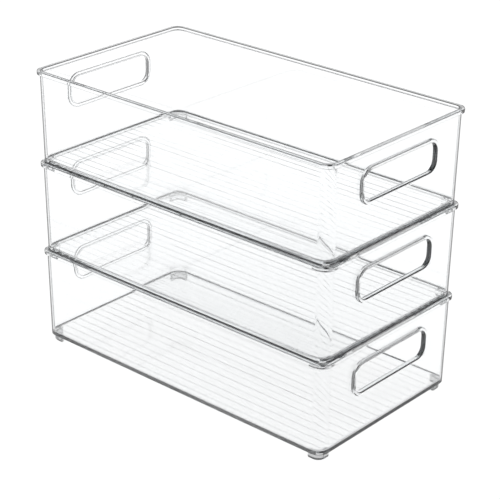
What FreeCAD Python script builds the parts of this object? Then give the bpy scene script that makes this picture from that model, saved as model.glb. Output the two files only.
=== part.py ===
"""A stack of three identical clear fridge bins.

Each bin is one injection moulding: four thin walls with a rounded rim, a ribbed floor, a framed
hand slot in each end wall and four corner feet. The feet of one bin drop inside the rim of the
bin below, so that its base rests on that rim. The three bins are separate pieces.

Millimetres. X runs along the long side, Y across it and Z up. The origin is on the surface that
the stack stands on, under the middle of the bottom bin.
"""
import FreeCAD, Part
import os

Vector = FreeCAD.Vector

# Overall size of one bin
BIN_LENGTH = 368.3
BIN_WIDTH = 203.2
BIN_HEIGHT = 101.6

# Rim: a thick lip that stands out from the walls
RIM_HEIGHT = 4.0
RIM_OVERHANG = 2.8
RIM_CORNER_RADIUS = 12.5
RIM_TOP_EDGE_RADIUS = 1.0
RIM_LOWER_EDGE_RADIUS = 0.8
RIM_INNER_EDGE_RADIUS = 0.6

# Walls: they lean in by the draft from the rim down to the base
WALL_THICKNESS = 2.4
WALL_DRAFT = 0.45
BASE_CORNER_RADIUS = 11.5
BASE_EDGE_RADIUS = 0.8

# Floor, and the low flat ribs that run along it
FLOOR_THICKNESS = 3.0
FLOOR_EDGE_RADIUS = 2.5
RIB_COUNT = 18
RIB_PITCH = 10.0
RIB_FOOT_WIDTH = 5.2
RIB_TOP_WIDTH = 4.8
RIB_HEIGHT = 0.2
RIB_END_GAP = 4.0

# Hand slots: an open slot in each end wall, with a raised frame around it
FRAME_LENGTH = 113.0
FRAME_HEIGHT = 36.0
FRAME_CORNER_RADIUS = 13.5
FRAME_WIDTH = 4.0
FRAME_CENTRE_BELOW_RIM = 33.5
FRAME_SETBACK = 0.2
FRAME_EDGE_RADIUS = 1.6
SLOT_INNER_EDGE_RADIUS = 0.8

# Feet: a quarter ring under each corner with a short straight tail along each wall
FOOT_HEIGHT = 7.2
FOOT_THICKNESS = 4.0
FOOT_TAIL = 4.3
FOOT_EDGE_RADIUS = 1.4
FOOT_SIDE_CLEARANCE = 1.2

# Stack
BIN_NAMES = ("bottom_bin_tub", "middle_bin_tub", "top_bin_tub")
RESTING_CLEARANCE = 0.2

# Worked out from the sizes above
TUB_HEIGHT = BIN_HEIGHT - FOOT_HEIGHT
STACK_PITCH = TUB_HEIGHT + RESTING_CLEARANCE
WALL_TOP_LENGTH = BIN_LENGTH - 2 * RIM_OVERHANG
WALL_TOP_WIDTH = BIN_WIDTH - 2 * RIM_OVERHANG
WALL_TOP_CORNER_RADIUS = RIM_CORNER_RADIUS - RIM_OVERHANG
BASE_LENGTH = WALL_TOP_LENGTH - 2 * WALL_DRAFT
BASE_WIDTH = WALL_TOP_WIDTH - 2 * WALL_DRAFT
FLOOR_TOP = FOOT_HEIGHT + FLOOR_THICKNESS
FRAME_CENTRE_Z = BIN_HEIGHT - FRAME_CENTRE_BELOW_RIM
FRAME_FACE_X = BIN_LENGTH / 2 - FRAME_SETBACK

# Modelling aids: how far joined shapes reach into each other, and how near counts as touching
OVERLAP = 1.0
LEVEL_TOLERANCE = 0.01
SEARCH_MARGIN = 0.1


def rounded_rectangle(length, width, radius, z):
    """A closed wire around the Z axis at height z: four straight sides and four corner arcs."""
    half_length = length / 2
    half_width = width / 2
    corners = (
        (half_length - radius, half_width - radius, 1, 1),
        (radius - half_length, half_width - radius, -1, 1),
        (radius - half_length, radius - half_width, -1, -1),
        (half_length - radius, radius - half_width, 1, -1),
    )
    diagonal = radius / 2 ** 0.5
    edges = []
    previous_end = None
    first_start = None
    for x, y, x_sign, y_sign in corners:
        side_point = Vector(x + x_sign * radius, y, z)
        end_point = Vector(x, y + y_sign * radius, z)
        middle = Vector(x + x_sign * diagonal, y + y_sign * diagonal, z)
        if x_sign == y_sign:
            start, end = side_point, end_point
        else:
            start, end = end_point, side_point
        if previous_end is None:
            first_start = start
        else:
            edges.append(Part.makeLine(previous_end, start))
        edges.append(Part.Arc(start, middle, end).toShape())
        previous_end = end
    edges.append(Part.makeLine(previous_end, first_start))
    return Part.Wire(edges)


def tapered_block(lower, upper):
    """A solid with straight sides between two rounded rectangles."""
    return Part.makeLoft([lower, upper], True, True)


def straight_block(outline, height):
    """A rounded rectangle pushed straight up."""
    return Part.Face(outline).extrude(Vector(0, 0, height))


def edges_at_height(shape, z):
    """The edges that lie level at height z."""
    return [
        edge for edge in shape.Edges
        if abs(edge.BoundBox.ZMin - z) < LEVEL_TOLERANCE
        and abs(edge.BoundBox.ZMax - z) < LEVEL_TOLERANCE
    ]


def walls_and_floor():
    """The outside of the tub as a solid block, before its inside is taken out."""
    base = rounded_rectangle(BASE_LENGTH, BASE_WIDTH, BASE_CORNER_RADIUS, FOOT_HEIGHT)
    top = rounded_rectangle(WALL_TOP_LENGTH, WALL_TOP_WIDTH, WALL_TOP_CORNER_RADIUS, BIN_HEIGHT)
    block = tapered_block(base, top)
    return block.makeFillet(BASE_EDGE_RADIUS, edges_at_height(block, FOOT_HEIGHT))


def rim():
    """The lip around the top, as a solid plate with rounded outer edges."""
    lower_face = BIN_HEIGHT - RIM_HEIGHT
    outline = rounded_rectangle(BIN_LENGTH, BIN_WIDTH, RIM_CORNER_RADIUS, lower_face)
    plate = straight_block(outline, RIM_HEIGHT)
    plate = plate.makeFillet(RIM_TOP_EDGE_RADIUS, edges_at_height(plate, BIN_HEIGHT))
    return plate.makeFillet(RIM_LOWER_EDGE_RADIUS, edges_at_height(plate, lower_face))


def inside():
    """The space inside the tub, from the floor up to the top of the rim."""
    floor_outline = rounded_rectangle(
        BASE_LENGTH - 2 * WALL_THICKNESS,
        BASE_WIDTH - 2 * WALL_THICKNESS,
        BASE_CORNER_RADIUS - WALL_THICKNESS,
        FLOOR_TOP,
    )
    top_outline = rounded_rectangle(
        WALL_TOP_LENGTH - 2 * WALL_THICKNESS,
        WALL_TOP_WIDTH - 2 * WALL_THICKNESS,
        WALL_TOP_CORNER_RADIUS - WALL_THICKNESS,
        BIN_HEIGHT,
    )
    space = tapered_block(floor_outline, top_outline)
    return space.makeFillet(FLOOR_EDGE_RADIUS, edges_at_height(space, FLOOR_TOP))


def floor_ribs():
    """Low flat ribs along the floor, with sloping sides."""
    half_length = BASE_LENGTH / 2 - WALL_THICKNESS - RIB_END_GAP
    left_side = (
        (RIB_FOOT_WIDTH / 2, -OVERLAP),
        (RIB_FOOT_WIDTH / 2, 0),
        (RIB_TOP_WIDTH / 2, RIB_HEIGHT),
    )
    profile = [(-y, z) for y, z in left_side] + list(reversed(left_side))
    points = [Vector(-half_length, y, FLOOR_TOP + z) for y, z in profile]
    rib = Part.Face(Part.makePolygon(points + points[:1])).extrude(Vector(2 * half_length, 0, 0))
    ribs = []
    for index in range(RIB_COUNT):
        placed = rib.copy()
        placed.translate(Vector(0, (index - (RIB_COUNT - 1) / 2) * RIB_PITCH, 0))
        ribs.append(placed)
    return ribs


def end_wall_plate(length, height, radius, side, start_x, end_x):
    """A rounded plate in an end wall, from start_x to end_x on the side given by +1 or -1."""
    plate = straight_block(rounded_rectangle(length, height, radius, 0), end_x - start_x)
    plate.rotate(Vector(0, 0, 0), Vector(0, 0, 1), 90)
    plate.rotate(Vector(0, 0, 0), Vector(0, 1, 0), 90 * side)
    plate.translate(Vector(side * start_x, 0, FRAME_CENTRE_Z))
    return plate


def edges_around_slot(shape, side, nearest_x, furthest_x):
    """The slot's own edges whose distance from the middle of the bin is in the given range."""
    half_length = FRAME_LENGTH / 2 - FRAME_WIDTH + SEARCH_MARGIN
    half_height = FRAME_HEIGHT / 2 - FRAME_WIDTH + SEARCH_MARGIN
    found = []
    for edge in shape.Edges:
        box = edge.BoundBox
        near = min(side * box.XMin, side * box.XMax)
        far = max(side * box.XMin, side * box.XMax)
        inside_slot = (
            max(-box.YMin, box.YMax) < half_length
            and max(FRAME_CENTRE_Z - box.ZMin, box.ZMax - FRAME_CENTRE_Z) < half_height
        )
        if inside_slot and near > nearest_x and far < furthest_x:
            found.append(edge)
    return found


def add_hand_slot(tub, side):
    """Adds the raised frame to one end wall and cuts the slot through it."""
    wall_outside = BASE_LENGTH / 2
    wall_inside = wall_outside - WALL_THICKNESS
    frame = end_wall_plate(
        FRAME_LENGTH, FRAME_HEIGHT, FRAME_CORNER_RADIUS, side, wall_outside - OVERLAP, FRAME_FACE_X
    )
    front_edges = [
        edge for edge in frame.Edges
        if abs(side * edge.BoundBox.XMin - FRAME_FACE_X) < LEVEL_TOLERANCE
        and abs(side * edge.BoundBox.XMax - FRAME_FACE_X) < LEVEL_TOLERANCE
    ]
    frame = frame.makeFillet(FRAME_EDGE_RADIUS, front_edges)
    slot = end_wall_plate(
        FRAME_LENGTH - 2 * FRAME_WIDTH,
        FRAME_HEIGHT - 2 * FRAME_WIDTH,
        FRAME_CORNER_RADIUS - FRAME_WIDTH,
        side,
        wall_inside - OVERLAP,
        FRAME_FACE_X + OVERLAP,
    )
    tub = tub.fuse(frame).cut(slot)
    tub = tub.makeFillet(
        FRAME_EDGE_RADIUS,
        edges_around_slot(tub, side, FRAME_FACE_X - SEARCH_MARGIN, FRAME_FACE_X + SEARCH_MARGIN),
    )
    inner_edges = edges_around_slot(
        tub, side, wall_inside - SEARCH_MARGIN, wall_inside + WALL_DRAFT + SEARCH_MARGIN
    )
    return tub.makeFillet(SLOT_INNER_EDGE_RADIUS, inner_edges)


def corner_foot():
    """The foot of the +X +Y corner: a quarter ring with a straight tail along each wall."""
    opening_half_length = BIN_LENGTH / 2 - RIM_OVERHANG - WALL_THICKNESS
    centre_x = BASE_LENGTH / 2 - BASE_CORNER_RADIUS
    centre_y = BASE_WIDTH / 2 - BASE_CORNER_RADIUS
    outer = opening_half_length - FOOT_SIDE_CLEARANCE - centre_x
    inner = outer - FOOT_THICKNESS
    middle = (outer + inner) / 2
    half = FOOT_THICKNESS / 2

    def point(x, y):
        return Vector(centre_x + x, centre_y + y, 0)

    def corner_arc(radius):
        diagonal = radius / 2 ** 0.5
        return Part.Arc(point(0, radius), point(diagonal, diagonal), point(radius, 0)).toShape()

    edges = [
        corner_arc(outer),
        Part.makeLine(point(outer, 0), point(outer, -FOOT_TAIL)),
        Part.Arc(
            point(outer, -FOOT_TAIL), point(middle, -FOOT_TAIL - half), point(inner, -FOOT_TAIL)
        ).toShape(),
        Part.makeLine(point(inner, -FOOT_TAIL), point(inner, 0)),
        corner_arc(inner),
        Part.makeLine(point(0, inner), point(-FOOT_TAIL, inner)),
        Part.Arc(
            point(-FOOT_TAIL, inner), point(-FOOT_TAIL - half, middle), point(-FOOT_TAIL, outer)
        ).toShape(),
        Part.makeLine(point(-FOOT_TAIL, outer), point(0, outer)),
    ]
    outline = Part.Wire(Part.__sortEdges__(edges))
    foot = straight_block(outline, FOOT_HEIGHT + OVERLAP)
    return foot.makeFillet(FOOT_EDGE_RADIUS, edges_at_height(foot, 0))


def feet():
    """The four corner feet."""
    foot = corner_foot()
    origin = Vector(0, 0, 0)
    pair = [foot, foot.mirror(origin, Vector(1, 0, 0))]
    return pair + [each.mirror(origin, Vector(0, 1, 0)) for each in pair]


def make_bin():
    """One whole bin, standing on its feet at the origin."""
    tub = walls_and_floor().fuse(rim()).cut(inside())
    inner_rim_edges = [
        edge for edge in edges_at_height(tub, BIN_HEIGHT)
        if edge.BoundBox.XMax < WALL_TOP_LENGTH / 2 and edge.BoundBox.YMax < WALL_TOP_WIDTH / 2
        and edge.BoundBox.XMin > -WALL_TOP_LENGTH / 2 and edge.BoundBox.YMin > -WALL_TOP_WIDTH / 2
    ]
    tub = tub.makeFillet(RIM_INNER_EDGE_RADIUS, inner_rim_edges)
    for side in (1, -1):
        tub = add_hand_slot(tub, side)
    tub = tub.fuse(feet() + floor_ribs()).removeSplitter()
    return tub.Solids[0]


def main():
    os.makedirs("parts", exist_ok=True)
    tub = make_bin()
    for level, name in enumerate(BIN_NAMES):
        placed = tub.copy()
        placed.translate(Vector(0, 0, level * STACK_PITCH))
        placed.exportStep("parts/" + name + ".step")


main()
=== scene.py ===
import math
from collections import namedtuple

import bpy
from mathutils import Matrix, Vector

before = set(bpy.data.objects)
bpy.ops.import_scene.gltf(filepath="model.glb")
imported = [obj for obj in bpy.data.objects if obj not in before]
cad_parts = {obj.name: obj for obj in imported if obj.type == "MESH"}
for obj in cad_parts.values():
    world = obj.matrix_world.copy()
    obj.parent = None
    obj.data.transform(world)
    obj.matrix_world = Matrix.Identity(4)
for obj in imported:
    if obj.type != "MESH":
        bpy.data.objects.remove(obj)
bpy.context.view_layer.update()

# ---- Camera: a 120 mm lens from the front right, looking down on the stack
CAMERA_PLACE = Vector((0.9706, -1.1056, 0.8035))
CAMERA_AZIMUTH = 41.029          # degrees round from -Y towards +X
CAMERA_ELEVATION = 24.795        # degrees above the horizon
CAMERA_ROLL = 0.751              # degrees
CAMERA_LENS = 119.53             # mm, on a sensor 36 mm wide
SENSOR_WIDTH = 36.0

# ---- Studio: a pale floor that glows a little, and white light that fades overhead
FLOOR_SIZE = 12.0                # m across
FLOOR_DROP = 0.0002              # m below the feet
FLOOR_COLOUR = (0.5, 0.5, 0.5, 1)
FLOOR_ROUGHNESS = 0.9
FLOOR_GLOW = 0.9
WHITE = (1, 1, 1, 1)
SKY_STRENGTH = 1.15
SKY_WHITE_BELOW = 0.38           # height on a sphere of radius 1
SKY_DARK_ABOVE = 0.62
SKY_DARK = (0.05, 0.05, 0.055, 1)

# ---- Clear polystyrene
PLASTIC_IOR = 1.585
CLEAR_COLOUR = (0.985, 0.99, 0.992, 1)
# The near black that is painted as shade on the edges, and where the plastic is seen edge on
PAINTED_SHADE_COLOUR = (0.003, 0.003, 0.0035, 1)
ABSORPTION_DENSITY = 8.0
ABSORPTION_COLOUR = (0.78, 0.80, 0.81, 1)

# Shade painted into the plastic's colour where it is seen edge on: 0 for a face seen straight
# on, 1 from the side
CORNER_EDGE_ON = (0.40, 0.66)
WALL_EDGE_ON = (0.80, 1.0)
WALL_SHARE = 0.7                 # how much a flat wall darkens, against a rounded corner
LEVEL_EASE = 0.33                # level faces start to darken this much later

# Places on the bins, in metres: out from the middle, and up from the foot of each bin. A rim
# lies higher than the next bin's foot, so its heights are given less one stacking pitch.
STACK_PITCH = 0.0946
CORNER_END = 0.1694              # the rounded upright corners are further out than these two
CORNER_SIDE = 0.0869
FLOOR_ZONE = (0.0097, 0.0129)    # the ribs and the floor's inner edge
RIM_ZONE = (0.0025, 0.0071)
RIM_MIDDLE = 0.0050              # between its upper and its lower edge
RIM_OUTER_END = 0.1815
RIM_OUTER_SIDE = 0.0990
RIM_TOP_FACE = (0.0068, 0.0071)  # just below the underside of the next base
RIM_STRIP_END = 0.1814           # the inner strip of the top face, and all of it at the corners
RIM_STRIP_SIDE = 0.0989
SLOT_HEIGHT = 0.0681             # the middle of the hand slots
SLOT_ZONE_START = 0.1775         # just inside the end wall
SLOT_ZONE_HALF_HEIGHT = 0.0195
SLOT_ZONE_HALF_LENGTH = 0.058
FRAME_ROOT = (0.1808, 0.1819)    # where the slot's frame stands up from the wall
FRAME_BAR_HALF_HEIGHT = 0.016
FRAME_BAR_HALF_LENGTH = 0.0545
BASE_BAND = (0.0071, 0.0093)     # the foot of the walls, just above the rim below
BASE_BAND_END = 0.1794           # outer faces only
BASE_BAND_SIDE = 0.0969
LOWEST_BASE_BAND = (0.0071, 0.0118)  # the shelf shades the lowest bin's base and its feet
FOOT_TOP = 0.0070
FOOT_OUTER_END = 0.1784
FOOT_OUTER_SIDE = 0.0958

# The turn of a surface where the painted shade on an edge starts, and where it is full
LEVEL_EDGE_SLANT = (0.1, 0.5)
SLOT_EDGE_SLANT = (0.6, 0.95)
FRAME_ROOT_TURN = (0.2, 0.5)
SLOT_END_TURN = (0.7, 0.95)

# How dark the painted shade is where it isn't full, on edges and as painted shadow on the lowest
# bin's base and feet
SLOT_END_SHADE = 0.9
RIM_UPPER_SHADE = 0.1
RIM_LOWER_SHADE = 0.8
RIM_STRIP_SHADE = 0.85
LOWEST_BASE_SHADOW = 0.97
FOOT_SHADOW = 0.45

# Surface waves left by the mould, and haze in its polish
WAVE_SCALE = 14.0
WAVE_DETAIL = 1.0
WAVE_DEPTH = 0.00015             # m
WAVE_STRENGTH = 0.12
HAZE_SCALE = 60.0
HAZE_DETAIL = 4.0
HAZE_RANGE = (0.45, 0.75)        # noise below it is clear, and above it fully hazy
HAZE_ROUGHNESS = (0.0, 0.02)

# ---- Light paths
MOST_BOUNCES = 64                # light runs down a whole wall and out of its foot
DIFFUSE_BOUNCES = 4

# A point on a bin: metres from the middle, metres up from the floor (z) and from its own bin's
# foot (height), how far its surface is turned towards each axis, and 1 if it's hit from outside
Point = namedtuple("Point", "from_end from_side z height turn_x turn_y turn_z outside")


def place_camera():
    """The camera at the viewing angle of the photo, with square pixels and no shift."""
    azimuth = math.radians(CAMERA_AZIMUTH)
    elevation = math.radians(CAMERA_ELEVATION)
    roll = math.radians(CAMERA_ROLL)
    back = Vector((
        math.sin(azimuth) * math.cos(elevation),
        -math.cos(azimuth) * math.cos(elevation),
        math.sin(elevation),
    ))
    level_right = (-back).cross(Vector((0, 0, 1))).normalized()
    level_up = back.cross(level_right)
    right = math.cos(roll) * level_right + math.sin(roll) * level_up
    up = math.cos(roll) * level_up - math.sin(roll) * level_right
    data = bpy.data.cameras.new("camera")
    data.lens = CAMERA_LENS
    data.sensor_width = SENSOR_WIDTH
    camera = bpy.data.objects.new("camera", data)
    bpy.context.scene.collection.objects.link(camera)
    turn = Matrix((right, up, back)).transposed()
    camera.matrix_world = Matrix.Translation(CAMERA_PLACE) @ turn.to_4x4()
    bpy.context.scene.camera = camera


def node(tree, kind, **values):
    """A new shader node with its named inputs or settings filled in."""
    made = tree.nodes.new(kind)
    for name, value in values.items():
        if name in made.inputs:
            made.inputs[name].default_value = value
        else:
            setattr(made, name, value)
    return made


def maths(tree, operation, *values):
    """A Math node; each value is a number or the output of another node."""
    made = node(tree, "ShaderNodeMath", operation=operation)
    for socket, value in zip(made.inputs, values):
        if isinstance(value, (int, float)):
            socket.default_value = value
        else:
            tree.links.new(value, socket)
    return made.outputs[0]


def size_of(tree, value):
    return maths(tree, "ABSOLUTE", value)


def opposite(tree, value):
    return maths(tree, "SUBTRACT", 1.0, value)


def joined(tree, operation, values):
    """The values taken together, two at a time."""
    made = values[0]
    for value in values[1:]:
        made = maths(tree, operation, made, value)
    return made


def all_of(tree, *values):
    return joined(tree, "MULTIPLY", values)


def any_of(tree, *values):
    return joined(tree, "MAXIMUM", values)


def soft_step(tree, value, limits):
    """0 below the first limit and 1 above the second, with a soft change between them."""
    made = node(tree, "ShaderNodeMapRange", interpolation_type="SMOOTHSTEP")
    made.inputs["From Min"].default_value = limits[0]
    made.inputs["From Max"].default_value = limits[1]
    tree.links.new(value, made.inputs["Value"])
    return made.outputs[0]


def between(tree, value, limits):
    """1 where the value is between the two limits and 0 elsewhere."""
    middle = (limits[0] + limits[1]) / 2
    half = (limits[1] - limits[0]) / 2
    return maths(tree, "COMPARE", value, middle, half)


def slant(tree, turn):
    """1 where a surface is turned halfway between an axis and its cross plane, 0 at both."""
    rest = maths(tree, "SQRT", opposite(tree, all_of(tree, turn, turn)))
    return all_of(tree, 2.0, turn, rest)


def own_axes(tree, output):
    """The X, Y and Z parts of a point or a direction in the piece's own axes."""
    place = node(tree, "ShaderNodeTexCoord")
    parts = node(tree, "ShaderNodeSeparateXYZ")
    tree.links.new(place.outputs[output], parts.inputs[0])
    return parts.outputs["X"], parts.outputs["Y"], parts.outputs["Z"]


def point_on_bin(tree):
    """Where the shaded point is, and which way its surface faces."""
    x, y, z = own_axes(tree, "Object")
    turns = [size_of(tree, part) for part in own_axes(tree, "Normal")]
    height = maths(tree, "MODULO", z, STACK_PITCH)
    hit_from_inside = node(tree, "ShaderNodeNewGeometry").outputs["Backfacing"]
    outside = opposite(tree, hit_from_inside)
    return Point(size_of(tree, x), size_of(tree, y), z, height, *turns, outside)


def beyond(tree, point, end, side):
    """1 further out than the given distances from the middle, along X or along Y."""
    return any_of(
        tree,
        maths(tree, "GREATER_THAN", point.from_end, end),
        maths(tree, "GREATER_THAN", point.from_side, side),
    )


def slot_edges(tree, point):
    """Painted shade, 1 on the edges of the hand slots and of their frames, with the place where
    that holds.
    """
    from_middle = size_of(tree, maths(tree, "SUBTRACT", point.height, SLOT_HEIGHT))
    near_slot = all_of(
        tree,
        maths(tree, "GREATER_THAN", point.from_end, SLOT_ZONE_START),
        maths(tree, "LESS_THAN", from_middle, SLOT_ZONE_HALF_HEIGHT),
        maths(tree, "LESS_THAN", point.from_side, SLOT_ZONE_HALF_LENGTH),
    )
    outer_part = any_of(
        tree,
        maths(tree, "GREATER_THAN", from_middle, FRAME_BAR_HALF_HEIGHT),
        maths(tree, "GREATER_THAN", point.from_side, FRAME_BAR_HALF_LENGTH),
    )
    frame_root = all_of(
        tree,
        between(tree, point.from_end, FRAME_ROOT),
        soft_step(tree, opposite(tree, point.turn_x), FRAME_ROOT_TURN),
    )
    slot_edge = soft_step(tree, slant(tree, point.turn_x), SLOT_EDGE_SLANT)
    slot_end = all_of(tree, SLOT_END_SHADE, soft_step(tree, point.turn_y, SLOT_END_TURN))
    edge = any_of(
        tree,
        all_of(tree, outer_part, frame_root),
        all_of(tree, opposite(tree, outer_part), any_of(tree, slot_end, slot_edge)),
    )
    return edge, near_slot


def rim_edges(tree, point, rounded):
    """Painted shade, full on the rim's inner edge, strong on its lower edge and its top, faint
    on the outer.
    """
    outer = beyond(tree, point, RIM_OUTER_END, RIM_OUTER_SIDE)
    upper = maths(tree, "GREATER_THAN", point.height, RIM_MIDDLE)
    outer_shade = maths(
        tree, "MULTIPLY_ADD", upper, RIM_UPPER_SHADE - RIM_LOWER_SHADE, RIM_LOWER_SHADE
    )
    painted_shade = any_of(tree, all_of(tree, outer, outer_shade), opposite(tree, outer))
    strip = all_of(
        tree,
        RIM_STRIP_SHADE,
        between(tree, point.height, RIM_TOP_FACE),
        opposite(tree, beyond(tree, point, RIM_STRIP_END, RIM_STRIP_SIDE)),
    )
    return any_of(tree, strip, all_of(tree, painted_shade, rounded))


def base_and_feet(tree, point):
    """Painted shade on the foot of each bin's walls, seen from outside, and a painted shadow
    from the shelf on the lowest bin's base and feet.
    """
    band = any_of(
        tree,
        all_of(tree, LOWEST_BASE_SHADOW, between(tree, point.z, LOWEST_BASE_BAND)),
        all_of(
            tree,
            maths(tree, "GREATER_THAN", point.z, STACK_PITCH),
            between(tree, point.height, BASE_BAND),
        ),
    )
    outer_face = beyond(tree, point, BASE_BAND_END, BASE_BAND_SIDE)
    feet = all_of(
        tree,
        FOOT_SHADOW,
        maths(tree, "LESS_THAN", point.z, FOOT_TOP),
        opposite(tree, beyond(tree, point, FOOT_OUTER_END, FOOT_OUTER_SIDE)),
    )
    return any_of(tree, all_of(tree, band, outer_face, point.outside), feet)


def painted_edge_shade(tree, point):
    """How much shade is painted on the edges of the rim, the hand slots, the base and the feet.
    """
    rounded = soft_step(tree, slant(tree, point.turn_z), LEVEL_EDGE_SLANT)
    in_rim = between(tree, point.height, RIM_ZONE)
    level_edge = any_of(
        tree,
        all_of(tree, in_rim, rim_edges(tree, point, rounded)),
        all_of(tree, opposite(tree, in_rim), rounded),
    )
    slot_edge, near_slot = slot_edges(tree, point)
    left_clear = any_of(tree, between(tree, point.height, FLOOR_ZONE), near_slot)
    return any_of(
        tree,
        all_of(tree, level_edge, opposite(tree, left_clear)),
        all_of(tree, slot_edge, near_slot),
        base_and_feet(tree, point),
    )


def seen_edge_on(tree, point):
    """Painted shade, 1 where the outside of a rounded corner is seen from the side, and less on
    a flat wall.
    """
    facing = node(tree, "ShaderNodeLayerWeight").outputs["Facing"]
    eased = maths(tree, "SUBTRACT", facing, all_of(tree, LEVEL_EASE, point.turn_z))
    corner = all_of(
        tree,
        maths(tree, "GREATER_THAN", point.from_end, CORNER_END),
        maths(tree, "GREATER_THAN", point.from_side, CORNER_SIDE),
    )
    grazing = any_of(
        tree,
        all_of(tree, corner, soft_step(tree, eased, CORNER_EDGE_ON)),
        all_of(tree, WALL_SHARE, soft_step(tree, eased, WALL_EDGE_ON)),
    )
    return all_of(tree, grazing, point.outside)


def mould_waves(tree, shader):
    """Broad shallow waves on every wall, and a fine uneven haze in the polish."""
    place = node(tree, "ShaderNodeTexCoord")
    waves = node(tree, "ShaderNodeTexNoise", Scale=WAVE_SCALE, Detail=WAVE_DETAIL)
    tree.links.new(place.outputs["Object"], waves.inputs["Vector"])
    bump = node(tree, "ShaderNodeBump", Strength=WAVE_STRENGTH, Distance=WAVE_DEPTH)
    tree.links.new(waves.outputs["Fac"], bump.inputs["Height"])
    tree.links.new(bump.outputs["Normal"], shader.inputs["Normal"])
    haze = node(tree, "ShaderNodeTexNoise", Scale=HAZE_SCALE, Detail=HAZE_DETAIL)
    tree.links.new(place.outputs["Object"], haze.inputs["Vector"])
    spread = node(tree, "ShaderNodeMapRange")
    spread.inputs["From Min"].default_value = HAZE_RANGE[0]
    spread.inputs["From Max"].default_value = HAZE_RANGE[1]
    spread.inputs["To Min"].default_value = HAZE_ROUGHNESS[0]
    spread.inputs["To Max"].default_value = HAZE_ROUGHNESS[1]
    tree.links.new(haze.outputs["Fac"], spread.inputs["Value"])
    tree.links.new(spread.outputs[0], shader.inputs["Roughness"])


def clear_plastic():
    """Clear moulded polystyrene, with shade painted into its colour on its rounded edges and
    where it is seen edge on.
    """
    material = bpy.data.materials.new("clear_polystyrene")
    material.use_nodes = True
    tree = material.node_tree
    shader = tree.nodes["Principled BSDF"]
    shader.inputs["IOR"].default_value = PLASTIC_IOR
    shader.inputs["Transmission Weight"].default_value = 1.0
    mould_waves(tree, shader)

    # Painted shade: the clear colour is mixed towards near black on the edges and where the
    # plastic is seen edge on
    painted_shade = node(tree, "ShaderNodeMix", data_type="RGBA")
    clear, dark = [socket for socket in painted_shade.inputs if socket.type == "RGBA"]
    clear.default_value = CLEAR_COLOUR
    dark.default_value = PAINTED_SHADE_COLOUR
    point = point_on_bin(tree)
    painted_shade_mask = any_of(tree, painted_edge_shade(tree, point), seen_edge_on(tree, point))
    tree.links.new(painted_shade_mask, painted_shade.inputs["Factor"])
    mixed = [socket for socket in painted_shade.outputs if socket.type == "RGBA"][0]
    tree.links.new(mixed, shader.inputs["Base Color"])

    absorption = node(tree, "ShaderNodeVolumeAbsorption", Density=ABSORPTION_DENSITY)
    absorption.inputs["Color"].default_value = ABSORPTION_COLOUR
    output = tree.nodes["Material Output"]
    tree.links.new(absorption.outputs["Volume"], output.inputs["Volume"])
    return material


def sky():
    """Soft white light from all round, fading towards the top."""
    world = bpy.data.worlds.new("studio_light")
    bpy.context.scene.world = world
    world.use_nodes = True
    tree = world.node_tree
    background = tree.nodes["Background"]
    background.inputs["Strength"].default_value = SKY_STRENGTH
    direction = node(tree, "ShaderNodeTexCoord")
    parts = node(tree, "ShaderNodeSeparateXYZ")
    tree.links.new(direction.outputs["Generated"], parts.inputs[0])
    ramp = node(tree, "ShaderNodeValToRGB")
    tree.links.new(parts.outputs["Z"], ramp.inputs["Fac"])
    low, high = ramp.color_ramp.elements
    low.position = SKY_WHITE_BELOW
    low.color = WHITE
    high.position = SKY_DARK_ABOVE
    high.color = SKY_DARK
    tree.links.new(ramp.outputs["Color"], background.inputs["Color"])


def pale_floor():
    """A floor that runs out of sight."""
    mesh = bpy.data.meshes.new("floor")
    half = FLOOR_SIZE / 2
    corners = [(-half, -half, 0), (half, -half, 0), (half, half, 0), (-half, half, 0)]
    mesh.from_pydata(corners, [], [(0, 1, 2, 3)])
    floor = bpy.data.objects.new("floor", mesh)
    floor.location.z = -FLOOR_DROP
    bpy.context.scene.collection.objects.link(floor)
    material = bpy.data.materials.new("pale_floor")
    material.use_nodes = True
    shader = material.node_tree.nodes["Principled BSDF"]
    shader.inputs["Base Color"].default_value = FLOOR_COLOUR
    shader.inputs["Roughness"].default_value = FLOOR_ROUGHNESS
    shader.inputs["Emission Color"].default_value = WHITE
    shader.inputs["Emission Strength"].default_value = FLOOR_GLOW
    mesh.materials.append(material)


def render_quality():
    """Enough bounces for light to find its way out of three clear walls behind each other."""
    scene = bpy.context.scene
    scene.view_settings.view_transform = "Standard"
    scene.cycles.use_denoising = True
    scene.cycles.denoising_input_passes = "RGB"
    scene.cycles.max_bounces = MOST_BOUNCES
    scene.cycles.transmission_bounces = MOST_BOUNCES
    scene.cycles.glossy_bounces = MOST_BOUNCES
    scene.cycles.diffuse_bounces = DIFFUSE_BOUNCES


place_camera()
sky()
pale_floor()
plastic = clear_plastic()
for cad_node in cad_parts.values():
    for material_slot in cad_node.material_slots:
        material_slot.material = plastic
render_quality()
